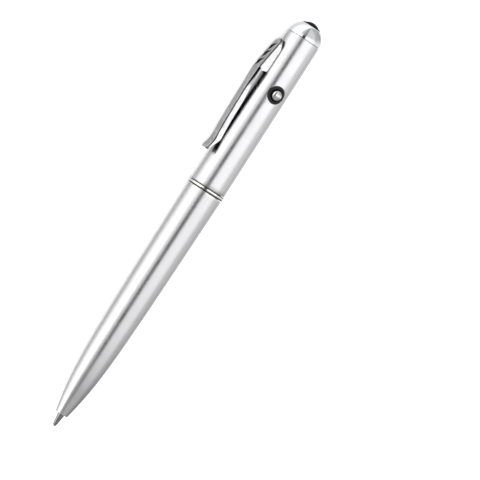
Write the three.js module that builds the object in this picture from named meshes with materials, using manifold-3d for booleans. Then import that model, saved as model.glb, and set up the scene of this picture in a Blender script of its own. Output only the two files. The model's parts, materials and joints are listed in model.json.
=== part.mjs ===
// A twist-action ballpoint pen with an ultraviolet lamp in its upper end, for checking banknotes.
// Millimetres. Each piece is drawn standing: writing tip at z = 0, lamp at the top, the pen's
// axis along z, the clip towards -y and the lamp button towards +x. The last section lays the
// pen down on its clip, as it rests on a table, with its tip towards +x.

import * as THREE from 'three';
import { mergeVertices } from 'three/addons/utils/BufferGeometryUtils.js';
import Module from 'manifold-3d';

const wasm = await Module();
wasm.setup();

// ---------------------------------------------------------------- driving dimensions

const LENGTH = 141;             // tip of the ball to the top of the window
const SEAM_DIAMETER = 11.3;     // barrels where they meet at the centre ring
const CROWN_DIAMETER = 10.8;    // upper barrel at the lamp end
const TIP_LENGTH = 4.2;         // refill standing out of the nose
const TIP_TRAVEL = 5.2;         // how far the refill draws back
const TWIST = THREE.MathUtils.degToRad(150);
const RING_Z = 82.15;           // lower face of the centre ring
const RING_HEIGHT = 1.2;
const DOME_HEIGHT = 4.8;        // chrome dome between the upper barrel and the window
const WINDOW_BULGE = 0.9;
const CLIP_WIDTH = 4.25;
const BUTTON_Z = 117;
const LINE = 0.15;              // open line between neighbours that meet end to end
const RUNNING = 0.1;            // radial clearance of a moving fit
const SEATED = 0.05;            // clearance of a fixed fit

const SEAM_RADIUS = SEAM_DIAMETER / 2;
const CROWN_RADIUS = CROWN_DIAMETER / 2;
const RING_TOP = RING_Z + RING_HEIGHT;
const UPPER_Z = RING_TOP + LINE;
const CROWN_Z = LENGTH - WINDOW_BULGE - DOME_HEIGHT;
const TAPER = (CROWN_RADIUS - SEAM_RADIUS) / (CROWN_Z - UPPER_Z);

const SIDES = 32;               // facets round a barrel
const FINE_SIDES = 24;          // facets round a small piece

/** Radius of the upper barrel at height z. */
const barrelRadius = (z) => SEAM_RADIUS + TAPER * (z - UPPER_Z);

// Outline of the clip's outer face: height z and distance from the pen's axis.
const CLIP_FACE = [
  [131.9, 6.55], [130.3, 6.85], [127.0, 7.44], [121.4, 8.25], [118.0, 8.27], [110.0, 8.15],
  [103.0, 7.94], [98.5, 7.66], [96.4, 7.52], [94.6, 7.86], [92.8, 8.42],
];
const CLIP_TOE = CLIP_FACE.at(-1);
const CLIP_PIVOT = CLIP_FACE[3];
const CLIP_REACH = CLIP_FACE[4][1];

/** Distance of the clip's outer face from the pen's axis at height z. */
function clipDistance(z) {
  const below = CLIP_FACE.findIndex(([height]) => height <= z);
  const [[highZ, highReach], [lowZ, lowReach]] = CLIP_FACE.slice(below - 1, below + 1);
  return lowReach + (highReach - lowReach) * (z - lowZ) / (highZ - lowZ);
}

// The pen lies on a facet of its centre ring and on the lower edge of the clip.
const RING_RADIUS = SEAM_RADIUS + 0.17;
const AXIS_HEIGHT = RING_RADIUS * Math.cos(Math.PI / SIDES);
const LIE_ROLL = Math.asin(AXIS_HEIGHT / Math.hypot(CLIP_REACH, CLIP_WIDTH / 2))
  - Math.atan2(CLIP_WIDTH / 2, CLIP_REACH);
const CLIP_EDGE = CLIP_REACH * Math.cos(LIE_ROLL) + CLIP_WIDTH / 2 * Math.sin(LIE_ROLL);

// ---------------------------------------------------------------- materials

const finish = (color, roughness, metalness) => (
  new THREE.MeshStandardMaterial({ color, roughness, metalness })
);

const SATIN = finish(0xc9cacc, 0.32, 1);
const CHROME = finish(0xe4e6e8, 0.08, 1);
const BRASS = finish(0xc8a552, 0.3, 1);
const STEEL = finish(0xb4b7ba, 0.25, 1);
const CELL = finish(0xd3d4d2, 0.28, 1);
const BLACK_PLASTIC = finish(0x141416, 0.5, 0);
const WHITE_PLASTIC = finish(0xe8e8e2, 0.5, 0);
const RUBBER = finish(0x1a1a1a, 0.8, 0);
const WINDOW = finish(0x120a24, 0.06, 0);
const LAMP = finish(0xd8dcf2, 0.08, 0);
const BOARD = finish(0x1e6b3a, 0.55, 0);
const CERAMIC = finish(0x202022, 0.6, 0);
const CARBIDE = finish(0x70747a, 0.15, 1);
const INK = finish(0x10131c, 0.35, 0);

// ---------------------------------------------------------------- shape helpers

/** A solid turned about z from an outline of [radius, height], given outer side first, upwards. */
function turned(outline, sides = SIDES) {
  const points = outline.map(([radius, height]) => new THREE.Vector2(radius, height));
  const open = outline[0][0] > 0 || outline.at(-1)[0] > 0;
  if (open) points.push(points[0].clone());
  const geometry = new THREE.LatheGeometry(points, sides);
  geometry.rotateX(Math.PI / 2);
  // One facet of every barrel faces the table when the pen lies down.
  geometry.rotateZ(LIE_ROLL + Math.PI / sides);
  return geometry;
}

/** A ring or tube of one wall. */
const tube = (inner, outer, from, to, sides = SIDES) => (
  turned([[outer, from], [outer, to], [inner, to], [inner, from]], sides)
);

/** A plain round rod along z. */
const rod = (radius, from, to, sides = FINE_SIDES) => (
  turned([[0, from], [radius, from], [radius, to], [0, to]], sides)
);

/** A box given by its low and high corners. */
function block(low, high) {
  const geometry = new THREE.BoxGeometry(...high.map((value, axis) => value - low[axis]));
  return geometry.translate(...high.map((value, axis) => (value + low[axis]) / 2));
}

/** Points of an arc in an outline, from one angle to another, in radians. */
function arc(centreRadius, centreHeight, radius, from, to, steps) {
  return Array.from({ length: steps + 1 }, (_, step) => {
    const angle = from + (to - from) * step / steps;
    return [centreRadius + radius * Math.cos(angle), centreHeight + radius * Math.sin(angle)];
  });
}

function solid(geometry) {
  const bare = geometry.clone();
  bare.deleteAttribute('normal');
  bare.deleteAttribute('uv');
  const merged = mergeVertices(bare, 1e-4);
  return new wasm.Manifold(new wasm.Mesh({
    numProp: 3,
    vertProperties: new Float32Array(merged.attributes.position.array),
    triVerts: new Uint32Array(merged.index.array),
  }));
}

function geometryOf(shape) {
  const mesh = shape.getMesh();
  const geometry = new THREE.BufferGeometry();
  geometry.setAttribute('position', new THREE.BufferAttribute(mesh.vertProperties, 3));
  geometry.setIndex(new THREE.BufferAttribute(mesh.triVerts, 1));
  geometry.computeVertexNormals();
  return geometry;
}

/** The first geometry less all the others. */
const cut = (body, ...tools) => (
  geometryOf(tools.reduce((left, tool) => left.subtract(solid(tool)), solid(body)))
);

/** What two geometries share. */
const common = (one, other) => geometryOf(solid(one).intersect(solid(other)));

/** Several geometries joined into one. */
const joined = (first, ...others) => (
  geometryOf(others.reduce((whole, next) => whole.add(solid(next)), solid(first)))
);

/** A round rod along x, for what crosses the pen towards the button. */
const crossRod = (radius, from, to, sides = FINE_SIDES) => (
  new THREE.CylinderGeometry(radius, radius, to - from, sides)
    .rotateZ(Math.PI / 2)
    .translate((from + to) / 2, 0, BUTTON_Z)
);

/** A solid turned about the button's axis, from an outline of [radius, x]. */
function turnedOnButton(outline) {
  const points = outline.map(([radius, x]) => new THREE.Vector2(radius, x));
  if (outline[0][0] > 0) points.push(points[0].clone());
  return new THREE.LatheGeometry(points, FINE_SIDES)
    .rotateZ(-Math.PI / 2)
    .translate(0, 0, BUTTON_Z);
}

const pen = new THREE.Group();

function piece(name, geometry, material) {
  const mesh = new THREE.Mesh(geometry, material);
  mesh.name = name;
  pen.add(mesh);
}

// ---------------------------------------------------------------- lower barrel

const NOSE_HOLE = 1.3;
const SPRING_SEAT_Z = 10.7;
const SPRING_BORE = 2.15;
const INSERT_Z = 70;
const INSERT_RADIUS = 4.95;
const INSERT_BORE = 4.5;
const LOWER_TOP = RING_Z - LINE;

/** Nose opening, then a long ogive that swells to the centre ring. */
function lowerBarrelOutline() {
  const ogive = new THREE.SplineCurve([
    new THREE.Vector2(2.02, TIP_LENGTH),
    new THREE.Vector2(2.95, 9.0),
    new THREE.Vector2(3.95, 16.0),
    new THREE.Vector2(4.7, 26.5),
    new THREE.Vector2(5.2, 44.0),
    new THREE.Vector2(5.5, 66.0),
    new THREE.Vector2(SEAM_RADIUS, LOWER_TOP),
  ]);
  return ogive.getPoints(12).map(({ x, y }) => [x, y]);
}

piece('lower_barrel', turned([
  [NOSE_HOLE, TIP_LENGTH],
  ...lowerBarrelOutline(),
  [INSERT_RADIUS + SEATED, LOWER_TOP],
  [INSERT_RADIUS + SEATED, INSERT_Z],
  [4.3, INSERT_Z],
  [3.9, 42],
  [SPRING_BORE, 36],
  [SPRING_BORE, SPRING_SEAT_Z],
  [NOSE_HOLE, SPRING_SEAT_Z],
]), SATIN);

piece('thread_insert', tube(
  INSERT_BORE, INSERT_RADIUS, INSERT_Z + SEATED, LOWER_TOP - SEATED, FINE_SIDES,
), BRASS);

// ---------------------------------------------------------------- refill

const BALL_RADIUS = 0.5;
const SOCKET_RADIUS = 0.56;
const TUBE_RADIUS = 1.175;
const TUBE_BORE = 0.95;
const TUBE_Z = 7.0;
const REFILL_TOP = 67;
const STOP_Z = 27.2;
const STOP_RADIUS = 1.55;

piece('writing_ball', new THREE.SphereGeometry(BALL_RADIUS, 16, 10)
  .rotateX(Math.PI / 2)
  .translate(0, 0, BALL_RADIUS), CARBIDE);

// The rim is spun in below the ball's middle, so that the ball can roll but can't fall out.
piece('refill_tip', turned([
  [0.475, 0.27], [0.56, 0.3], [0.66, 0.95], [1.09, TIP_LENGTH], [1.15, 5.4],
  [TUBE_RADIUS, 5.7], [TUBE_RADIUS, TUBE_Z - SEATED], [TUBE_BORE - SEATED, TUBE_Z - SEATED],
  [TUBE_BORE - SEATED, 10.0], [0.3, 10.0], [0.3, 1.3], [SOCKET_RADIUS, 1.1], [SOCKET_RADIUS, 0.46],
], FINE_SIDES), BRASS);

piece('refill_tube', turned([
  [TUBE_RADIUS, TUBE_Z], [TUBE_RADIUS, STOP_Z], [STOP_RADIUS, STOP_Z + 0.2],
  [STOP_RADIUS, STOP_Z + 0.8], [TUBE_RADIUS, STOP_Z + 1.0], [TUBE_RADIUS, REFILL_TOP],
  [TUBE_BORE, REFILL_TOP], [TUBE_BORE, TUBE_Z],
], FINE_SIDES), STEEL);

piece('ink_column', rod(TUBE_BORE - RUNNING, 10.3, 56, 16), INK);

/** A compression spring between the nose and the stop ridge on the refill. */
function refillSpring() {
  const wire = 0.18;
  const radius = 1.78;
  const turns = 8;
  const from = SPRING_SEAT_Z + wire + SEATED;
  const to = STOP_Z - wire - SEATED;
  const stepsPerTurn = 8;
  const centres = Array.from({ length: turns * stepsPerTurn + 1 }, (_, step) => {
    const angle = step * 2 * Math.PI / stepsPerTurn;
    const height = from + (to - from) * step / (turns * stepsPerTurn);
    return new THREE.Vector3(radius * Math.cos(angle), radius * Math.sin(angle), height);
  });
  const section = new THREE.Shape();
  section.absarc(0, 0, wire, 0, 2 * Math.PI);
  return new THREE.ExtrudeGeometry(section, {
    steps: turns * stepsPerTurn,
    curveSegments: 3,
    extrudePath: new THREE.CatmullRomCurve3(centres),
  });
}

piece('refill_spring', refillSpring(), STEEL);

// ---------------------------------------------------------------- twist mechanism

const LUG_HALF_WIDTH = 0.5;
const LUG_Z = 82;
const LUG_HEIGHT = 1.6;
const LUG_REACH = 3.6;
const PUSHER_RADIUS = 2.0;
const PUSHER_TOP = 88;
const MECHANISM_Z = 66;
const MECHANISM_TOP = 94;
const MECHANISM_BORE = 3.2;
const THREAD_PITCH = 0.75;
const NECK_RADIUS = 4.6;
const STEM_RADIUS = 4.5;
const GROOVE_Z = 91.0;
const GROOVE_RADIUS = 4.1;
const CAM_INNER = 2.2;
const CAM_OUTER = 3.05;
const CAM_TOP = 95.3;
const LUG_HALF_ANGLE = Math.asin(LUG_HALF_WIDTH / CAM_INNER) + 0.02;

/** Ridges that the lower barrel screws onto. */
function threadRidges() {
  const first = 73;
  const ridges = 9;
  return Array.from({ length: ridges }, (_, turn) => [
    [4.12, first + turn * THREAD_PITCH],
    [4.38, first + (turn + 0.5) * THREAD_PITCH],
  ]).flat();
}

function mechanismBody() {
  const body = turned([
    [4.0, MECHANISM_Z], [4.0, 72.6], ...threadRidges(), [4.12, 80.4], [4.3, 80.8],
    [4.3, LOWER_TOP + SEATED], [NECK_RADIUS, LOWER_TOP + SEATED], [NECK_RADIUS, UPPER_Z],
    [STEM_RADIUS, UPPER_Z + 0.3], [STEM_RADIUS, GROOVE_Z],
    [GROOVE_RADIUS, GROOVE_Z], [GROOVE_RADIUS, GROOVE_Z + 1.3], [STEM_RADIUS, GROOVE_Z + 1.3],
    [STEM_RADIUS, MECHANISM_TOP], [MECHANISM_BORE, MECHANISM_TOP], [MECHANISM_BORE, 70],
    [PUSHER_RADIUS + 0.15, 70], [PUSHER_RADIUS + 0.15, MECHANISM_Z],
  ], FINE_SIDES);
  const keyHalf = LUG_HALF_WIDTH + 0.12;
  const keyways = block(
    [-LUG_REACH - 0.12, -keyHalf, LUG_Z - 0.6],
    [LUG_REACH + 0.12, keyHalf, MECHANISM_TOP + 1],
  );
  return cut(body, keyways);
}

piece('mechanism_body', mechanismBody(), BRASS);

piece('friction_ring', turned([
  [4.55, GROOVE_Z + 0.1], [4.64, GROOVE_Z + 0.4], [4.64, GROOVE_Z + 0.9], [4.55, GROOVE_Z + 1.2],
  [GROOVE_RADIUS + SEATED, GROOVE_Z + 1.2], [GROOVE_RADIUS + SEATED, GROOVE_Z + 0.1],
], FINE_SIDES), RUBBER);

/** Chrome ring between the barrels, a little prouder than both. */
function centreRing() {
  const crown = RING_RADIUS;
  const shoulder = SEAM_RADIUS;
  return turned([
    [NECK_RADIUS + RUNNING, RING_Z], [shoulder, RING_Z], [crown, RING_Z + 0.3],
    [crown, RING_TOP - 0.3], [shoulder, RING_TOP], [NECK_RADIUS + RUNNING, RING_TOP],
  ]);
}

piece('centre_ring', centreRing(), CHROME);

/** Rod behind the refill, with a lug each side that rides in the keyways and under the cam. */
function refillPusher() {
  const stem = turned([
    [1.25, 62], [PUSHER_RADIUS, 62], [PUSHER_RADIUS, PUSHER_TOP], [0, PUSHER_TOP],
    [0, REFILL_TOP + 0.2], [1.25, REFILL_TOP + 0.2],
  ], FINE_SIDES);
  const lugs = block(
    [-LUG_REACH, -LUG_HALF_WIDTH, LUG_Z],
    [LUG_REACH, LUG_HALF_WIDTH, LUG_Z + LUG_HEIGHT],
  );
  return joined(stem, lugs);
}

piece('refill_pusher', refillPusher(), WHITE_PLASTIC);

/**
 * Height of the cam's lower edge at an angle from the first lug, counted the way the lug travels.
 * Two equal ramps let the lugs climb by TIP_TRAVEL in one twist, then the edge stays level.
 */
function camEdge(angle) {
  const turn = (angle + LUG_HALF_ANGLE + 2 * Math.PI) % Math.PI;
  return LUG_Z + LUG_HEIGHT + 0.08 + TIP_TRAVEL * Math.min(turn / TWIST, 1);
}

/** The fixed cam: a sleeve whose lower edge climbs round it, under a flange held in the barrel. */
function camSleeve() {
  const edgeSteps = 18;
  const wall = 0.012;
  const angles = [];
  for (const start of [-LUG_HALF_ANGLE, Math.PI - LUG_HALF_ANGLE]) {
    for (let step = 0; step <= edgeSteps; step += 1) {
      angles.push(start + wall + (Math.PI - 2 * wall) * step / edgeSteps);
    }
  }
  const section = (angle) => [
    [CAM_INNER, camEdge(angle)], [CAM_OUTER, camEdge(angle)], [CAM_OUTER, MECHANISM_TOP + 0.3],
    [4.65, MECHANISM_TOP + 0.3], [4.65, CAM_TOP], [CAM_INNER, CAM_TOP],
  ];
  const corners = section(0).length;
  const positions = angles.flatMap((angle) => section(angle).flatMap(([radius, height]) => (
    [radius * Math.cos(-angle), radius * Math.sin(-angle), height]
  )));
  const index = [];
  angles.forEach((_, ring) => {
    const next = (ring + 1) % angles.length;
    for (let corner = 0; corner < corners; corner += 1) {
      const after = (corner + 1) % corners;
      const [a, b] = [ring * corners + corner, ring * corners + after];
      const [c, d] = [next * corners + corner, next * corners + after];
      index.push(a, b, c, b, d, c);
    }
  });
  const geometry = new THREE.BufferGeometry();
  geometry.setAttribute('position', new THREE.Float32BufferAttribute(positions, 3));
  geometry.setIndex(index);
  return geometry;
}

piece('cam_sleeve', camSleeve(), WHITE_PLASTIC);

// ---------------------------------------------------------------- upper barrel

const BARREL_BORE = 4.75;
const COLLAR_OUTER = 2.68;
const COLLAR_INNER = 1.95;
const TAB_HALF = 1.2;
const TAB_HEIGHT = 0.8;
const TAB_Z = [122.6, 126.0];

function upperBarrel() {
  const shell = turned([
    [SEAM_RADIUS, UPPER_Z], [CROWN_RADIUS, CROWN_Z], [BARREL_BORE, CROWN_Z], [BARREL_BORE, UPPER_Z],
  ]);
  const buttonHole = crossRod(COLLAR_OUTER + 0.07, 3, 8);
  const slots = TAB_Z.map((z) => block(
    [-TAB_HALF - 0.15, -7, z - 0.15],
    [TAB_HALF + 0.15, -3, z + TAB_HEIGHT + 0.15],
  ));
  return cut(shell, buttonHole, ...slots);
}

piece('upper_barrel', upperBarrel(), SATIN);

// ---------------------------------------------------------------- batteries

const CELL_RADIUS = 3.95;
const CELL_HEIGHT = 3.6;
const CELL_PITCH = 3.7;
const FIRST_CELL_Z = 98.7;
const SEAT_Z = 95.5;
const SEAT_HEIGHT = 0.5;
const CELL_COUNT = 3;
const STACK_TOP = FIRST_CELL_Z + CELL_COUNT * CELL_PITCH;

piece('battery_seat', rod(4.6, SEAT_Z, SEAT_Z + SEAT_HEIGHT), BRASS);

/** A conical contact spring from the seat up to the first cell. */
function batterySpring() {
  const wire = 0.2;
  const turns = 2.5;
  const steps = 24;
  const from = SEAT_Z + SEAT_HEIGHT + wire + SEATED;
  const to = FIRST_CELL_Z - wire - SEATED;
  const centres = Array.from({ length: steps + 1 }, (_, step) => {
    const share = step / steps;
    const angle = share * turns * 2 * Math.PI;
    const radius = 3.4 - 1.8 * share;
    const height = from + (to - from) * share;
    return new THREE.Vector3(radius * Math.cos(angle), radius * Math.sin(angle), height);
  });
  const section = new THREE.Shape();
  section.absarc(0, 0, wire, 0, 2 * Math.PI);
  return new THREE.ExtrudeGeometry(section, {
    steps,
    curveSegments: 3,
    extrudePath: new THREE.CatmullRomCurve3(centres),
  });
}

piece('battery_spring', batterySpring(), STEEL);

/** A button cell: the narrower cap below, the can above, with bevelled edges. */
function buttonCell(z) {
  return turned([
    [0, z], [3.2, z], [3.3, z + 0.7], [CELL_RADIUS, z + 0.8],
    [CELL_RADIUS, z + CELL_HEIGHT - 0.2], [CELL_RADIUS - 0.2, z + CELL_HEIGHT], [0, z + CELL_HEIGHT],
  ], FINE_SIDES);
}

for (let cell = 0; cell < CELL_COUNT; cell += 1) {
  piece(`battery_cell_${cell + 1}`, buttonCell(FIRST_CELL_Z + cell * CELL_PITCH), CELL);
}

piece('battery_sleeve', tube(4.1, 4.55, FIRST_CELL_Z - 0.8, STACK_TOP, FINE_SIDES), BLACK_PLASTIC);
piece('battery_contact', rod(3.9, STACK_TOP + 0.05, STACK_TOP + 0.35), BRASS);

// ---------------------------------------------------------------- circuit and switch

const BOARD_FACE = -0.35;
const BOARD_THICKNESS = 0.8;
const BOARD_HALF = 3.5;
const BOARD_Z = STACK_TOP + 0.5;
const BOARD_TOP = 127.6;
const SWITCH_HALF = 2.1;
const SWITCH_TOP = 1.4;
const PLUNGER_RADIUS = 1.0;
const BUTTON_TRAVEL = 0.5;

piece('circuit_board', block(
  [BOARD_FACE - BOARD_THICKNESS, -BOARD_HALF, BOARD_Z],
  [BOARD_FACE, BOARD_HALF, BOARD_TOP],
), BOARD);

piece('resistor', block([BOARD_FACE + SEATED, -0.6, 121.6], [BOARD_FACE + 0.65, 0.6, 123.6]), CERAMIC);

/** The switch body, with the well that its plunger moves in. */
function switchBase() {
  const body = block(
    [BOARD_FACE + SEATED, -SWITCH_HALF, BUTTON_Z - SWITCH_HALF],
    [SWITCH_TOP, SWITCH_HALF, BUTTON_Z + SWITCH_HALF],
  );
  return cut(body, crossRod(PLUNGER_RADIUS + RUNNING, BOARD_FACE + 0.6, SWITCH_TOP + 1));
}

piece('switch_base', switchBase(), BLACK_PLASTIC);
piece('switch_plunger', crossRod(PLUNGER_RADIUS, BOARD_FACE + 0.65 + BUTTON_TRAVEL, 2.3), WHITE_PLASTIC);

/** The chrome button: stem, a flange that keeps it in the barrel, and a domed cap. */
function pushButton() {
  const capRadius = COLLAR_INNER - RUNNING;
  const shoulder = 5.35;
  const rise = 1.35;
  const sphere = (capRadius ** 2 + rise ** 2) / (2 * rise);
  const centre = shoulder + rise - sphere;
  const rim = Math.asin((shoulder - centre) / sphere);
  const dome = arc(0, centre, sphere, rim, Math.PI / 2, 6);
  return turnedOnButton([
    [0, 2.35], [1.2, 2.35], [1.2, 2.9], [2.85, 2.9], [2.85, 3.5], [capRadius, 3.5], ...dome,
  ]);
}

piece('push_button', pushButton(), CHROME);

/** The black collar round the button, trimmed to follow the barrel just above its surface. */
function buttonCollar() {
  const ring = turnedOnButton([
    [COLLAR_INNER, 3.72], [COLLAR_OUTER, 3.72], [COLLAR_OUTER, 6.5], [COLLAR_INNER, 6.5],
  ]);
  const skin = barrelRadius(BUTTON_Z) + 0.16;
  return common(ring, rod(skin, BUTTON_Z - 5, BUTTON_Z + 5, SIDES));
}

piece('button_collar', buttonCollar(), BLACK_PLASTIC);

// ---------------------------------------------------------------- lamp

const LED_RADIUS = 2.5;
const LED_FLANGE = 2.9;
const LED_Z = 130;
const LEAD_SPACING = 2.54;
const HOLDER_Z = 128.2;
const HOLDER_TOP = 131.8;
const SPIGOT_Z = 132.1;
const WINDOW_RADIUS = 2.3;
const WINDOW_FLANGE = 2.75;
const WINDOW_Z = 139.0;

piece('led_holder', turned([
  [1.9, HOLDER_Z], [4.6, HOLDER_Z], [4.6, HOLDER_TOP], [LED_FLANGE + RUNNING, HOLDER_TOP],
  [LED_FLANGE + RUNNING, LED_Z - SEATED], [1.9, LED_Z - SEATED],
], FINE_SIDES), BLACK_PLASTIC);

piece('uv_led', turned([
  [0, LED_Z], [LED_FLANGE, LED_Z], [LED_FLANGE, LED_Z + 1], [LED_RADIUS, LED_Z + 1],
  ...arc(0, 136.1, LED_RADIUS, 0, Math.PI / 2, 6),
], FINE_SIDES), LAMP);

['led_lead_anode', 'led_lead_cathode'].forEach((name, side) => {
  const y = (side - 0.5) * LEAD_SPACING;
  const half = 0.23;
  piece(name, block([-half, y - half, 124.6 + side], [half, y + half, LED_Z - SEATED]), STEEL);
});

/** The chrome dome: a spigot in the barrel, half a ball outside, and a seat for the window. */
function lightBezel() {
  const base = CROWN_Z + LINE;
  const mouth = WINDOW_RADIUS + RUNNING;
  const mouthAngle = Math.acos(mouth / CROWN_RADIUS);
  return turned([
    [4.65, SPIGOT_Z], [4.65, base],
    ...arc(0, base - 0.1, CROWN_RADIUS, 0.1 / CROWN_RADIUS, mouthAngle, 8),
    [mouth, 139.75], [WINDOW_FLANGE + RUNNING, 139.75], [WINDOW_FLANGE + RUNNING, 134],
    [3.6, 133.4], [3.6, SPIGOT_Z],
  ]);
}

piece('light_bezel', lightBezel(), CHROME);

/** The dark filter window: a flange behind the dome's mouth and a lens that bulges out of it. */
function filterWindow() {
  const rim = LENGTH - WINDOW_BULGE;
  const sphere = (WINDOW_RADIUS ** 2 + WINDOW_BULGE ** 2) / (2 * WINDOW_BULGE);
  const lens = arc(0, LENGTH - sphere, sphere, Math.acos(WINDOW_RADIUS / sphere), Math.PI / 2, 6);
  return turned([
    [0, WINDOW_Z], [WINDOW_FLANGE, WINDOW_Z], [WINDOW_FLANGE, WINDOW_Z + 0.65],
    [WINDOW_RADIUS, WINDOW_Z + 0.65], [WINDOW_RADIUS, rim - 0.01], ...lens,
  ], FINE_SIDES);
}

piece('filter_window', filterWindow(), WINDOW);

// ---------------------------------------------------------------- clip

const CLIP_SHEET = 0.55;
const CLIP_SPLIT = 0.2;
const BRACKET_DEPTH = 5;
const ROOT_DEPTH = 0.9;         // side walls of the arm where it springs from the bracket
const ARM_DEPTH = 1.9;          // along most of its length
const TOE_DEPTH = 0.8;          // and at the toe

/** A plate standing in the pen's middle plane, from an outline of [height z, distance from the axis]. */
function sidePlate(outline, width) {
  const shape = new THREE.Shape(outline.map(([z, distance]) => new THREE.Vector2(z, distance)));
  return new THREE.ExtrudeGeometry(shape, { depth: width, bevelEnabled: false })
    .translate(0, 0, -width / 2)
    .applyMatrix4(new THREE.Matrix4().makeBasis(
      new THREE.Vector3(0, 0, 1),
      new THREE.Vector3(0, -1, 0),
      new THREE.Vector3(1, 0, 0),
    ));
}

/** A plate as the clip looks from outside: half-round at the top, with rounded corners below. */
function planPlate(from, to, width) {
  const half = width / 2;
  const corner = 0.35 * half;
  const shape = new THREE.Shape();
  shape.absarc(0, to - half, half, 0, Math.PI);
  shape.absarc(corner - half, from + corner, corner, Math.PI, 1.5 * Math.PI);
  shape.absarc(half - corner, from + corner, corner, 1.5 * Math.PI, 2 * Math.PI);
  return new THREE.ExtrudeGeometry(shape, { depth: 10, bevelEnabled: false, curveSegments: 6 })
    .applyMatrix4(new THREE.Matrix4().makeBasis(
      new THREE.Vector3(1, 0, 0),
      new THREE.Vector3(0, 0, 1),
      new THREE.Vector3(0, -1, 0),
    ));
}

/** The clip's outer face between two heights, moved in or out by an offset. */
function faceLine(low, high, offset) {
  return CLIP_FACE
    .filter(([z]) => z >= low && z <= high)
    .map(([z, distance]) => [z, distance + offset]);
}

/** The fixed end of the clip: a deep channel whose side walls stand on the barrel. */
function clipBracket() {
  const low = CLIP_PIVOT[0] + CLIP_SPLIT / 2;
  const top = CLIP_FACE[0][0];
  const lowFace = [low, CLIP_PIVOT[1] - 0.01];
  const outside = [...faceLine(low, top, 0), lowFace];
  const blank = sidePlate([...outside, [low, BRACKET_DEPTH], [top, BRACKET_DEPTH]], CLIP_WIDTH);
  const plan = planPlate(110, top, CLIP_WIDTH);
  const inner = outside.map(([z, distance]) => [z, distance - CLIP_SHEET]);
  const pocketWidth = CLIP_WIDTH - 2 * CLIP_SHEET;
  const pocket = common(
    sidePlate([...inner, [low - 3, inner.at(-1)[1]], [low - 3, 0], [top, 0]], pocketWidth),
    planPlate(110, top - CLIP_SHEET, pocketWidth),
  );
  const barrel = rod(barrelRadius(low) + RUNNING, low - 5, top + 5, SIDES);
  const shell = cut(common(blank, plan), pocket, barrel);
  return joined(shell, ...TAB_Z.map(clipTab));
}

/** A tab that passes through a slot in the barrel and turns up behind its wall. */
function clipTab(z) {
  const inside = -4.0;
  const outside = CLIP_SHEET / 2 - clipDistance(z);
  const stem = block([-TAB_HALF, outside, z], [TAB_HALF, inside, z + TAB_HEIGHT]);
  const hook = block([-TAB_HALF, inside - 0.4, z], [TAB_HALF, inside, z + TAB_HEIGHT + 1.0]);
  return joined(stem, hook);
}

/** How deep the arm's side walls are at height z: shallow at the root and at the toe. */
function armDepth(z) {
  const fromRoot = THREE.MathUtils.smoothstep(CLIP_PIVOT[0] - z, 0, 12);
  const fromToe = THREE.MathUtils.clamp((z - 94.5) / 3, 0, 1);
  return Math.min(
    ROOT_DEPTH + (ARM_DEPTH - ROOT_DEPTH) * fromRoot,
    TOE_DEPTH + (ARM_DEPTH - TOE_DEPTH) * fromToe,
  );
}

/** The springy end: a shallow channel that dips to the barrel and turns out at its toe. */
function clipArm() {
  const high = CLIP_PIVOT[0] - CLIP_SPLIT / 2;
  const toe = CLIP_TOE[0];
  const outside = [[high, CLIP_PIVOT[1]], ...faceLine(toe, high, 0)];
  const underside = outside.map(([z, distance]) => [z, distance - armDepth(z)]).reverse();
  const body = sidePlate([...outside, ...underside], CLIP_WIDTH);
  const plan = planPlate(toe, 130, CLIP_WIDTH);
  const floor = outside.map(([z, distance]) => [z, distance - CLIP_SHEET]);
  const deep = floor.map(([z, distance]) => [z, distance - 3]).reverse();
  const channelWidth = CLIP_WIDTH - 2 * CLIP_SHEET;
  const open = high + 3;
  const channel = common(
    sidePlate([[open, floor[0][1]], ...floor, ...deep, [open, deep.at(-1)[1]]], channelWidth),
    planPlate(toe + 2.4, 130, channelWidth),
  );
  return cut(common(body, plan), channel);
}

piece('clip_bracket', clipBracket(), CHROME);
piece('clip_arm', clipArm(), CHROME);

// ---------------------------------------------------------------- laid on the table

// Turning the pen's axis onto -x puts the clip towards -y; the roll then lowers it to the table.
const laid = new THREE.Group();
laid.add(pen);
pen.rotation.set(0, -Math.PI / 2, 0);
laid.rotation.x = LIE_ROLL;
laid.position.set(LENGTH / 2, (CLIP_EDGE - AXIS_HEIGHT) / 2, AXIS_HEIGHT);

const model = new THREE.Group();
model.add(laid);

export default model;
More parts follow.
